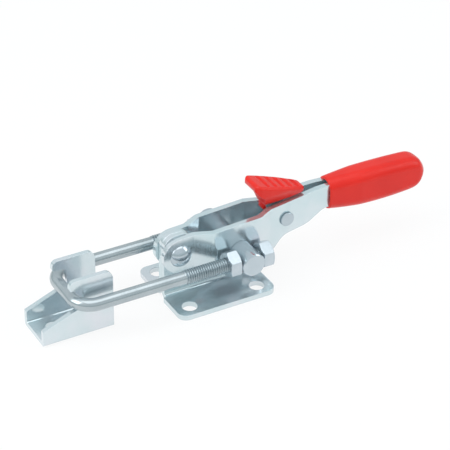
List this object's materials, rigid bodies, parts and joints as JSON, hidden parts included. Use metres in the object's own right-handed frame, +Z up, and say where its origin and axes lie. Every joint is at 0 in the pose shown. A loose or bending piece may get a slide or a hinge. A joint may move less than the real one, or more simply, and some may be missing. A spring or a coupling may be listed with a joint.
{
  "type": "over centre toggle latch",
  "caption": "Over centre toggle latch with a threaded U-bolt, a hooked catch plate, a red lever grip and a spring-loaded safety catch; shown closed.",
  "frame": {"origin": "centre of the base's four-hole pattern, on the underside of the feet", "axes": "+X towards the end of the handle, -X towards the catch plate, +Z up out of the mounting surface"},
  "size_m": [0.1804, 0.0402, 0.0426],
  "materials": {
    "zinc_plated_steel": "bright blue-white zinc plating, glossy",
    "red_plastic": "glossy moulded",
    "spring_steel": "drawn wire"
  },
  "bodies": {
    "base": {"base_bracket_near": "zinc_plated_steel", "base_bracket_far": "zinc_plated_steel", "main_pivot_rivet": "zinc_plated_steel", "catch_plate": "zinc_plated_steel"},
    "lever": {"lever_arm_near": "zinc_plated_steel", "lever_arm_far": "zinc_plated_steel", "handle_grip": "red_plastic", "handle_rivet": "zinc_plated_steel", "safety_catch_pin": "zinc_plated_steel", "safety_catch_spring": "spring_steel"},
    "pull_bolt": {"u_bolt": "zinc_plated_steel", "trunnion": "zinc_plated_steel", "front_nut_near": "zinc_plated_steel", "front_nut_far": "zinc_plated_steel", "rear_nut_near": "zinc_plated_steel", "rear_nut_far": "zinc_plated_steel"},
    "safety_catch": {"safety_catch_pad": "red_plastic", "safety_catch_hook": "zinc_plated_steel"}
  },
  "joints": [
    {"name": "lever_pivot", "type": "hinge", "parent": "base", "child": "lever", "pos_m": [-0.0144, 0, 0.0206], "axis": [0, -1, 0], "range_deg": [0, 105]},
    {"name": "trunnion_pivot", "type": "hinge", "parent": "lever", "child": "pull_bolt", "pos_m": [0.0108, 0, 0.017], "axis": [0, -1, 0], "range_deg": [-75, 0]},
    {"name": "safety_catch_pivot", "type": "hinge", "parent": "lever", "child": "safety_catch", "pos_m": [0.0343, 0, 0.0239], "axis": [0, -1, 0], "range_deg": [-4, 8], "stiffness_Nm_per_rad": 0.05, "springref_deg": -45.84}
  ],
  "couplings": [
    {"joint": "trunnion_pivot", "follows": "lever_pivot", "ratio": -0.71}
  ]
}
